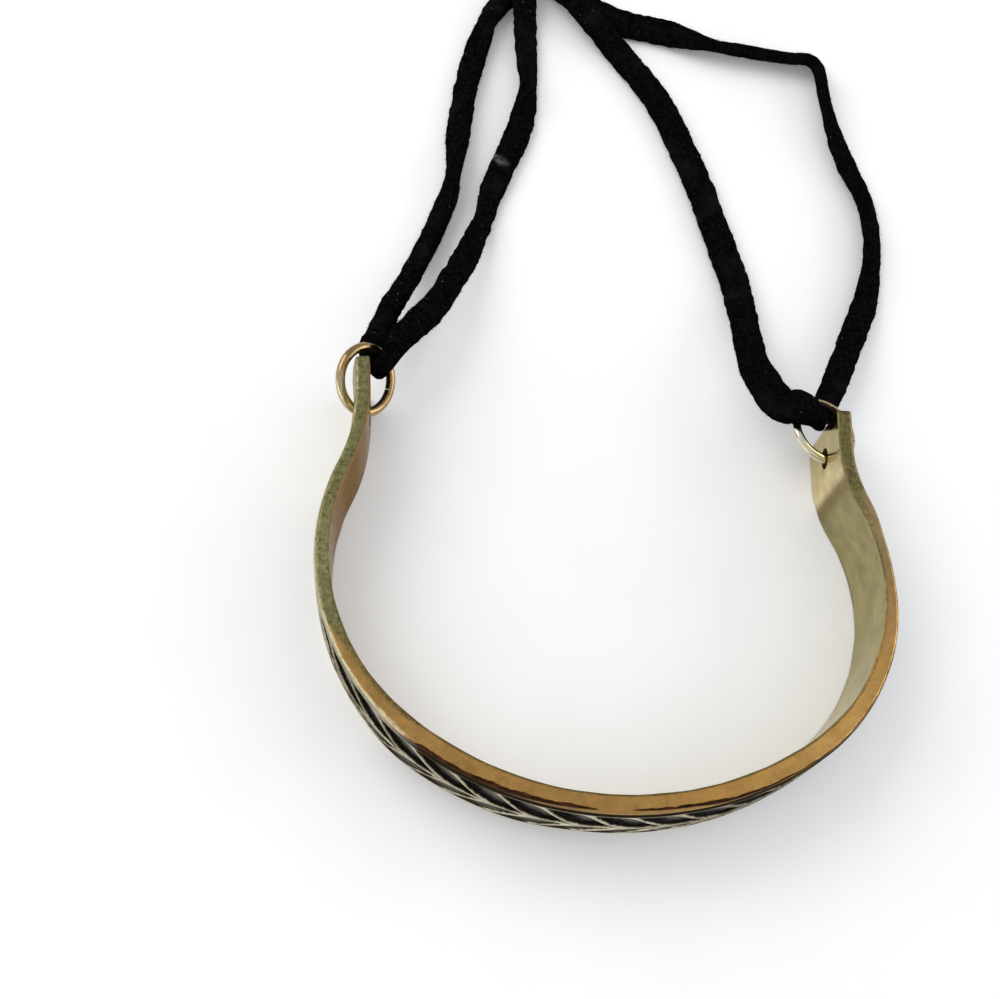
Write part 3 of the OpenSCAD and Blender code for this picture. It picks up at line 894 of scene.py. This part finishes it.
def edge_metal(look, run, away, shaky):
    """Gold, with olive tarnish where it isn't rubbed and a line along the inner corner. Gives the
    colour, where the tarnish is, and where it is pitted."""
    olive_to = look.curve(run, {
        27: 2.8, 29.5: 1.7, 31: 1.15, 33: 0.7, 36: 0.5, 39.5: 0.6, 42.5: 0.5, 45: 0.1, 100: 0.08,
        106: 0.22, 110: 0.45, 113: 0.8, 115: 1.1, 116.5: 2.8,
    })
    olive = look.span(look.minus(look.plus(olive_to, shaky), away), -0.22, 0.22)
    gold = look.tones(run, {
        30: (0.33, 0.2, 0.07), 45: GOLD_DULL, 62: GOLD_DULL, 76: GOLD, 86: GOLD_BRIGHT, 96: GOLD_BRIGHT,
        101: COPPER, 108: (0.37, 0.255, 0.115), 115: (0.33, 0.245, 0.115),
    })
    gold = look.uneven(gold, look.noise(0.5, 4, 0.6), 0.4)
    gold = look.uneven(gold, look.noise(2.2, 4, 0.7), 0.22)
    green = look.tones(run, {
        16: OLIVE, 24: OLIVE_PALE, 30: OLIVE, 35: OLIVE_BROWN, 45: DARK_LINE, 98: DARK_LINE,
        110: (0.34, 0.25, 0.12), 116: BRONZE, 124.4: BRONZE, 125.3: (0.08, 0.07, 0.03),
    })
    green = look.uneven(green, look.noise(1.6, 5, 0.75), 1.3)
    blots = look.span(look.noise(2.6, 3, 0.7), 0.43, 0.36, 0, 0.6)
    green = look.mix(blots, green, (0.045, 0.045, 0.014))
    green = look.specked(green, look.noise(4.0, 3, 0.6), 0.6, 0.68, (0.42, 0.38, 0.22))
    colour = look.mix(olive, gold, green)
    colour = look.specked(colour, look.noise(3.2, 2, 0.6), 0.31, 0.25, (0.16, 0.09, 0.03))
    line_here = look.curve(run, {
        0: 0, 2: 0.8, 18: 0.8, 22: 0, 43: 0, 46: 0.85, 98: 0.85, 112: 0.7, 117: 0.5,
    })
    line = look.times(look.span(look.times_plus(shaky, -0.35, away), 0.34, 0.19), line_here)
    line_tone = look.tones(run, {
        20: (0.26, 0.14, 0.055), 45: (0.15, 0.11, 0.035), 98: (0.15, 0.11, 0.035),
        116: (0.15, 0.13, 0.06),
    })
    return look.mix(line, colour, line_tone), olive, look.times(blots, olive)


def edge_rim(look, run, away, rim, shaky):
    """Where a bright line along the outer rim is painted as a highlight, its tone there, and where the
    rim is dull.
    """
    width = look.curve(run, {
        7: 0.2, 9: 0.1, 24: 0.12, 28: 0.15, 38: 0.17, 40: 0.3, 43: 0.3, 45: 0.1, 53: 0.12, 60: 0.22,
        74: 0.18, 80: 0.08, 84: 0.2, 98: 0.2, 104: 0.1, 114: 0.1, 117: 0.34, 126: 0.3,
    })
    here = look.curve(run, {
        0: 0.4, 7: 0.45, 9: 0.25, 22: 0.35, 25: 0.6, 32: 0.9, 42: 0.9, 44.5: 0, 52: 0, 54: 0.95,
        74: 0.95, 80: 0.2, 84: 0.6, 95: 0.6, 98.5: 0, 114: 0, 117: 0.4, 126: 0.5,
    })
    # A painted highlight: a bright line along the outer rim, patchy along the run.
    rim_highlight = look.span(look.minus(look.times_plus(shaky, 0.25, width), rim), -0.03, 0.04)
    patchy = look.span(look.streaks(run, away, 1.2, 2.5), 0.36, 0.6, 0.25, 1.0)
    tone = look.tones(run, {
        0: (0.8, 0.75, 0.5), 24: CREAM, 43: CREAM, 52: (0.17, 0.11, 0.06), 60: (0.2, 0.13, 0.065),
        62: TAN, 74: TAN, 84: RIM_GOLD, 98: RIM_GOLD, 116: (0.62, 0.45, 0.25),
    })
    dull_here = look.curve(run, {95: 0, 98.5: 0.85, 112: 0.8, 118: 0.4, 126: 0.6})
    dull = look.times(look.span(look.times_plus(shaky, 0.2, rim), 0.2, 0.08), dull_here)
    return look.times(look.times(rim_highlight, here), patchy), tone, dull


def edge_stain(look, run, away, fine):
    """Where the enamel has run over the corner and stained the edge, and the stain's colour."""
    along = look.centred(look.streaks(run, away, 0.55, 1.6))
    middle = look.curve(run, {
        43.5: 1.98, 46: 1.93, 52.5: 1.86, 54.5: 1.72, 58: 1.66, 60: 1.6, 62.3: 1.62, 66: 1.52, 72: 1.56,
        75: 1.8, 80: 1.83, 85: 1.84, 98: 1.6,
    })
    half = look.curve(run, {
        43: 0, 45: 0.2, 48: 0.24, 53: 0.25, 55: 0.22, 60: 0.18, 62: 0.09, 62.8: 0, 65.6: 0, 66.4: 0.1,
        71.5: 0.15, 73.3: 0.2, 75: 0.13, 80: 0.1, 84: 0.07, 98: 0.04, 99.5: 0,
    })
    off = look.math("ABSOLUTE", look.minus(look.times_plus(along, 0.12, away), middle))
    inside = look.minus(look.times(half, look.times_plus(along, 0.9, 1.05)), off)
    stain = look.span(look.times_plus(fine, 0.03, inside), -0.06, 0.05)
    redness = look.span(look.streaks(run, away, 0.8, 2.0), 0.45, 0.62, 0, 0.45)
    return look.times(stain, look.span(half, 0.005, 0.03)), look.mix(redness, STAIN, STAIN_RED)


def edge_look():
    """The filed edge: golden where it is rubbed bright, olive where it isn't, stained by the enamel."""
    look = Look("cuff_edge_metal")
    run, away, rim = look.value("run"), look.value("away"), look.value("rim")
    ragged = look.centred(look.noise(1.0, 4, 0.65))
    fine = look.centred(look.noise(4.0, 3, 0.65))
    shaky = look.plus(look.times(ragged, 0.35), look.times(fine, 0.22))
    metal, olive, pitted = edge_metal(look, run, away, shaky)
    rim_highlight, rim_highlight_tone, dull = edge_rim(look, run, away, rim, shaky)
    stain, stain_tone = edge_stain(look, run, away, fine)
    # The painted rim highlight goes into the colour, and is made less metallic so it stays bright.
    colour = look.mix(dull, look.mix(rim_highlight, metal, rim_highlight_tone), DULL_RIM)
    look.set("Base Color", look.mix(stain, colour, stain_tone))
    look.set("Specular Tint", look.tones(run, {
        0: (0.85, 0.83, 0.7), 30: (0.9, 0.86, 0.7), 50: (0.9, 0.75, 0.5), 90: (0.9, 0.72, 0.45),
        98: (0.4, 0.31, 0.18), 112: (0.4, 0.33, 0.2), 118: (0.6, 0.55, 0.4),
    }))
    look.set("Metallic", look.minus(1.0, look.times(rim_highlight, 0.55)))
    rough = look.plus(look.times(olive, 0.2), look.span(look.noise(1.7, 3), 0.3, 0.7, 0.22, 0.36))
    look.set("Roughness", look.plus(rough, look.times(look.larger(stain, dull), 0.35)))
    look.bump((look.noise(3.0, 3, 0.6), 0.012), (pitted, -0.03))
    return look.material


def inner_look():
    """The inner face: brown on the left, and a pale greenish mirror on the right."""
    look = Look("cuff_inner_metal", Metallic=1.0)
    run = look.value("run")
    look.set("Specular Tint", look.tones(run, {30: (0.6, 0.45, 0.3), 80: (0.9, 0.86, 0.72)}))
    tone = look.tones(run, {
        0: (0.23, 0.145, 0.06), 22: (0.26, 0.17, 0.07), 45: (0.42, 0.32, 0.15), 85: (0.44, 0.36, 0.18),
        98: (0.36, 0.315, 0.165), 114: (0.33, 0.29, 0.15), 115.6: (0.33, 0.29, 0.15),
        116.4: (0.22, 0.16, 0.08), 117.2: (0.24, 0.18, 0.09), 118: (0.72, 0.62, 0.37),
        124: (0.66, 0.56, 0.32),
    })
    tone = look.uneven(tone, look.noise(0.4, 4, 0.6), 0.7)
    look.set("Base Color", look.specked(tone, look.noise(2.2, 3, 0.7), 0.64, 0.72, (0.1, 0.08, 0.04)))
    look.set("Roughness", look.span(look.noise(0.8, 4, 0.6), 0.3, 0.7, 0.12, 0.24))
    look.bump((look.noise(0.22, 2), 0.05), (look.noise(6, 2), 0.003))
    return look.material


def relief_metal(look, run, inset, plate, worn):
    """Pale rubbed metal, palest on the veins' worn crowns, where a highlight is painted too, with a
    duller strip where there is no pattern.
    """
    pale = look.mix(look.span(worn, 0.35, 0.65), (0.6, 0.55, 0.41), (0.45, 0.4, 0.28))
    # Wear and a painted highlight: the veins' crowns are paler.
    crown_wear_and_highlight = look.times(look.span(inset, -0.12, -0.24), look.span(worn, 0.4, 0.6, 0.2, 0.9))
    pale = look.mix(crown_wear_and_highlight, pale, (0.8, 0.76, 0.63))
    rubbed = look.span(look.noise(0.8, 4, 0.65), 0.38, 0.62)
    strip = look.mix(rubbed, (0.42, 0.38, 0.2), (0.62, 0.55, 0.34))
    bare = look.larger(look.minus(1.0, plate), look.span(inset, -0.45, -0.75))
    return look.scale(look.mix(bare, pale, strip), look.curve(run, {
        0: 0.8, 24: 0.75, 36: 0.62, 42: 0.82, 50: 0.9, 60: 1, 68: 1, 74: 0.65, 80: 0.5, 126: 0.6,
    }))


def relief_dark(look, run, inset, plate, worn, level, rise):
    """Where the relief is dark: beside the enamel, in the grooves and along the outline."""
    # Darker on the cells' walls beside the enamel.
    beside_enamel_dark = look.times(look.span(look.times_plus(look.centred(worn), 0.1, inset), -0.09, 0.01), plate)
    off_groove = look.math("ABSOLUTE", look.minus(rise, FIELD_HALF + GROOVE_W / 2))
    groove_here = look.curve(run, {0: 0.1, 40: 0.15, 45: 1})
    groove = look.times(look.span(off_groove, 0.33, 0.24), look.times(plate, groove_here))
    outline_here = look.curve(run, {42: 0, 45.5: 0.9, 53: 0.9, 57: 0.15, 72: 0.15, 77: 0.8})
    outline = look.times(look.span(rise, FIELD_HALF - 0.43, FIELD_HALF - 0.33), outline_here)
    lower = look.times(look.span(level, MID_Z - 3.9, MID_Z - 4.15), look.span(run, 38, 42))
    lines = look.times(look.larger(outline, lower), plate)
    return look.larger(look.larger(beside_enamel_dark, groove), lines)


def relief_look():
    """The cast outer face: pale where it is rubbed, with painted highlights on the veins' crowns and on
    the border before the bend, dark in its grooves and beside the enamel.
    """
    look = Look("cuff_relief_metal")
    run, inset, plate = look.value("run"), look.value("inset"), look.value("plate")
    level = look.add("SeparateXYZ", {0: look.place()}).outputs["Z"]
    rise = look.math("ABSOLUTE", look.minus(level, MID_Z))
    worn = look.noise(0.7, 4, 0.65)
    pale = relief_metal(look, run, inset, plate, worn)
    dark = relief_dark(look, run, inset, plate, worn, level, rise)
    border = look.times(look.span(rise, FIELD_HALF + 0.05, FIELD_HALF + 0.17), plate)
    # Border tones: a pale painted highlight from run 28 to 42, dark from 45 on.
    border_highlight_then_dark = look.tones(run, {
        28: (0.9, 0.86, 0.7), 42: (0.85, 0.78, 0.6), 45: (0.08, 0.05, 0.03), 52: (0.08, 0.05, 0.03),
        54: (0.12, 0.08, 0.045), 62: (0.14, 0.09, 0.045), 72: (0.14, 0.09, 0.045),
        76: (0.15, 0.09, 0.05),
    })
    sheen = look.tones(run, {
        24: (0.62, 0.6, 0.5), 38: (0.6, 0.57, 0.46), 46: (0.85, 0.83, 0.76), 68: (0.95, 0.9, 0.84),
        76: (0.55, 0.48, 0.4),
    })
    look.set("Specular Tint", look.mix(border, sheen, border_highlight_then_dark))
    # A painted highlight: the border is paler still before the bend.
    bend_highlight = look.times(border, look.times(look.span(run, 25, 29), look.span(run, 45, 42)))
    pale = look.mix(bend_highlight, pale, (0.74, 0.68, 0.46))
    pale = look.mix(look.times(border, look.span(run, 43, 45.5)), pale, border_highlight_then_dark)
    colour = look.mix(dark, pale, (0.03, 0.02, 0.01))
    look.set("Base Color", look.specked(colour, look.noise(3.4, 3, 0.7), 0.64, 0.72, (0.2, 0.15, 0.06)))
    look.set("Metallic", look.minus(1.0, dark))
    look.set("Specular IOR Level", look.times_plus(dark, -0.49, 0.5))
    rough = look.span(look.noise(1.6, 4, 0.6), 0.3, 0.7, 0.24, 0.38)
    look.set("Roughness", look.plus(rough, look.times(dark, 0.35)))
    look.bump((look.noise(1.3, 4, 0.6), 0.02), (look.noise(7, 3), 0.006))
    return look.material


def enamel_look():
    """Opaque enamel: black beside the rib, with a blotchy greyish-blue reflection of the floor painted
    into its colour towards the outline.
    """
    look = Look("enamel_glaze", IOR=1.5)
    share, height = look.value("share"), look.value("height")
    # A painted reflection of the floor: greyish blue mixed into the black towards the outline, blotched
    # by noise.
    reflection_blotches = look.centred(look.noise(0.7, 4, 0.6))
    painted_floor_reflection = look.times(look.span(share, 0.2, 0.8), look.span(height, 0.6, 3.2))
    painted_floor_reflection = look.span(look.times_plus(reflection_blotches, 0.6, painted_floor_reflection), 0.05, 0.9)
    colour = look.mix(painted_floor_reflection, (0.0015, 0.001, 0.0006), (0.085, 0.077, 0.066))
    look.set("Base Color", look.specked(colour, look.noise(6.5, 2, 0.5), 0.68, 0.74, (0.1, 0.1, 0.09)))
    look.set("Specular IOR Level", look.times_plus(painted_floor_reflection, 0.04, 0.003))
    rough = look.span(look.noise(2.0, 3), 0.3, 0.7, 0.22, 0.38)
    look.set("Roughness", look.times_plus(painted_floor_reflection, 0.15, rough))
    look.bump((look.noise(0.9, 3), 0.04), (look.noise(5, 3), 0.008))
    return look.material


def make_cuff():
    points = cuff_points()
    rows = section_rows()
    count, around = points.shape[:2]
    looks = [edge_look(), inner_look(), relief_look()]
    cuff = new_piece("cuff", points.reshape(-1, 3), tube_faces(count, around), looks)
    dressed = []
    for (face, _, rise, _), (after, _, next_rise, _) in zip(rows, rows[1:] + rows[:1]):
        on_relief = face == after == "outer" and max(abs(rise), abs(next_rise)) < MID_Z - BEVEL + 0.01
        dressed.append(2 if on_relief else 1 if face == after == "inner" else 0)
    cuff.data.polygons.foreach_set("material_index", dressed * (count - 1) + [0, 0])
    outward(cuff.data, join=True)
    drill(cuff, LEFT_HOLE_AT, LEFT_HOLE_D)
    drill(cuff, RIGHT_HOLE_AT, RIGHT_HOLE_D)
    for name, values in cuff_values(cuff.data).items():
        keep_value(cuff, name, values)
    smooth(cuff.data, 45)
    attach(cuff, "root")
    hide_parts("cuff_band")
    return cuff


def make_enamel():
    """One closed pool of enamel in each cell, hollow in its middle."""
    points, faces = [], []
    across_shares = np.linspace(0, 1, 17)
    up_heights = np.linspace(RIB_W / 2 - 0.02, FIELD_HALF - OUTLINE_W + 0.02, 15)
    levels = vein_rng.uniform(-0.03, 0.02, (PAIRS, 2))
    share, height = np.meshgrid(across_shares, up_heights)
    rows, across = share.shape
    rim = grid_rim(rows, across)
    for k, side in np.ndindex(PAIRS, 2):
        left = vein_edge(k, side, height, 1)
        whole = vein_edge(k + 1, side, height, -1) - left
        run = left + share * whole
        rise = -height if side else height
        inset = cell_inset(share * whole, (1 - share) * whole, height)
        face = outer_face(run, rise)
        top = face - ENAMEL_LOW + levels[k, side] - POOL_DIP * smoothstep(0.05, 0.7, inset)
        first, under = len(points) * share.size, (len(points) + 1) * share.size
        for away in (top, face - CELL_DEEP - POOL_ROOT):
            points.append(stand(run, MID_Z + rise, away).reshape(-1, 3))
        faces += grid_faces(rows, across, first=first)
        faces += [f[::-1] for f in grid_faces(rows, across, first=under)]
        faces += [(first + b, first + a, under + a, under + b) for a, b in zip(rim, rim[1:] + rim[:1])]
    enamel = new_piece("enamel_pools", np.vstack(points), faces, [enamel_look()], "enamel")
    keep_value(enamel, "share", np.tile(share.ravel(), len(points)))
    keep_value(enamel, "height", np.tile(height.ravel(), len(points)))
    outward(enamel.data)
    smooth(enamel.data, 50)
    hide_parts("enamel_cells")
    return enamel


cuff = make_cuff()
enamel = make_enamel()


# Rings: their wire is the part's own, and darker on the side that faces the ring's middle, where a
# reflection of the dark lace is painted
def ring_look(name, at, bright, dull, inner_reflection_tone, dark_share, pale, highlight_at, reach):
    """Worn wire: bright and dull spots, a painted highlight as a pale stretch near one place, and a
    painted reflection that darkens the side inside the ring.
    """
    look = Look(name, Metallic=1.0)
    geometry = look.add("NewGeometry")
    inward = look.vector("NORMALIZE", look.vector("SUBTRACT", at, look.place())[0])[0]
    facing = look.vector("DOT_PRODUCT", inward, geometry.outputs["Normal"])["Value"]
    rough = look.noise(1.2, 4, 0.65)
    inner = look.plus(facing, look.times(look.minus(rough, 0.5), 0.8))
    inner = look.span(inner, dark_share, dark_share + 0.35)
    metal = look.mix(look.span(look.noise(0.45, 3), 0.35, 0.65), bright, dull)
    gap = look.vector("SUBTRACT", look.place(), (*highlight_at, at[2]))[0]
    gap = look.vector("LENGTH", look.vector("MULTIPLY", gap, (1, 1, 0))[0])["Value"]
    # A painted highlight: the wire turns pale within reach of one place.
    metal = look.mix(look.span(gap, reach, reach / 2), metal, pale)
    # A painted reflection of the dark lace: dark on the side that faces the ring's middle.
    look.set("Base Color", look.mix(inner, metal, inner_reflection_tone))
    wear = look.span(rough, 0.3, 0.7, 0.12, 0.26)
    look.set("Roughness", look.plus(wear, look.times(inner, 0.3)))
    look.bump((look.noise(0.9, 2), 0.05), (look.noise(5, 3), 0.008))
    return look.material


def dress(node, look):
    node.data.materials.clear()
    node.data.materials.append(look)


LEFT_RING_AT = (-26.55, 21.9, 6.8)
RIGHT_RING_AT = (24.9, 19.95, 5.25)
dress(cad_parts["left_ring"], ring_look(
    "left_ring_metal", LEFT_RING_AT, bright=(0.4, 0.27, 0.125), dull=(0.26, 0.175, 0.075),
    inner_reflection_tone=(0.03, 0.018, 0.008), dark_share=0.4, pale=(0.52, 0.43, 0.26), highlight_at=(-29, 19), reach=3.0))
dress(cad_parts["right_ring"], ring_look(
    "right_ring_metal", RIGHT_RING_AT, bright=(0.46, 0.34, 0.2), dull=(0.38, 0.3, 0.18),
    inner_reflection_tone=(0.02, 0.014, 0.008), dark_share=-0.2, pale=(0.7, 0.66, 0.52), highlight_at=(22.6, 17.4),
    reach=4.6))


# Floor, light and the sky round them
def make_floor():
    half = 900
    corners = [(-half, -half, 0), (half, -half, 0), (half, half, 0), (-half, half, 0)]
    floor = new_piece("floor", corners, [(0, 1, 2, 3)], [floor_look()])
    floor.location.z = -0.02 * MM


def floor_look():
    # The floor glows faintly by its own emission: painted light that lifts its shadows.
    look = Look("pale_floor", Roughness=0.6, Specular_IOR_Level=0.2, Emission_Strength=0.1)
    grain = look.span(look.noise(0.08, 3), 0.3, 0.7)
    look.set("Base Color", look.mix(grain, (0.93, 0.93, 0.925), (0.95, 0.95, 0.95)))
    return look.material


def softbox(name, at, aim, size, watts, colour):
    lamp = bpy.data.lights.new(name, "AREA")
    lamp.shape = "RECTANGLE"
    lamp.size, lamp.size_y = size[0] * MM, size[1] * MM
    lamp.energy = watts
    lamp.color = colour
    box = add_object(name, lamp)
    box.location = Vector(at) * MM
    box.rotation_mode = "QUATERNION"
    box.rotation_quaternion = (Vector(aim) * MM - box.location).to_track_quat("-Z", "Y")


def make_light():
    world = bpy.data.worlds.new("studio")
    world.use_nodes = True
    background = world.node_tree.nodes["Background"]
    background.inputs["Color"].default_value = (0.95, 0.97, 1, 1)
    background.inputs["Strength"].default_value = 0.7
    bpy.context.scene.world = world
    softbox("key", (-240, 170, 280), (0, 10, 0), (300, 300), 0.62, (1, 0.98, 0.95))
    softbox("fill", (350, 20, 130), (0, 10, 0), (320, 220), 0.45, (0.97, 0.98, 1))
    softbox("low_strip", (-240, -180, 50), (0, 0, 0), (340, 60), 0.16, (1, 0.98, 0.92))
    bpy.context.scene.view_settings.view_transform = "Standard"


make_floor()
make_light()
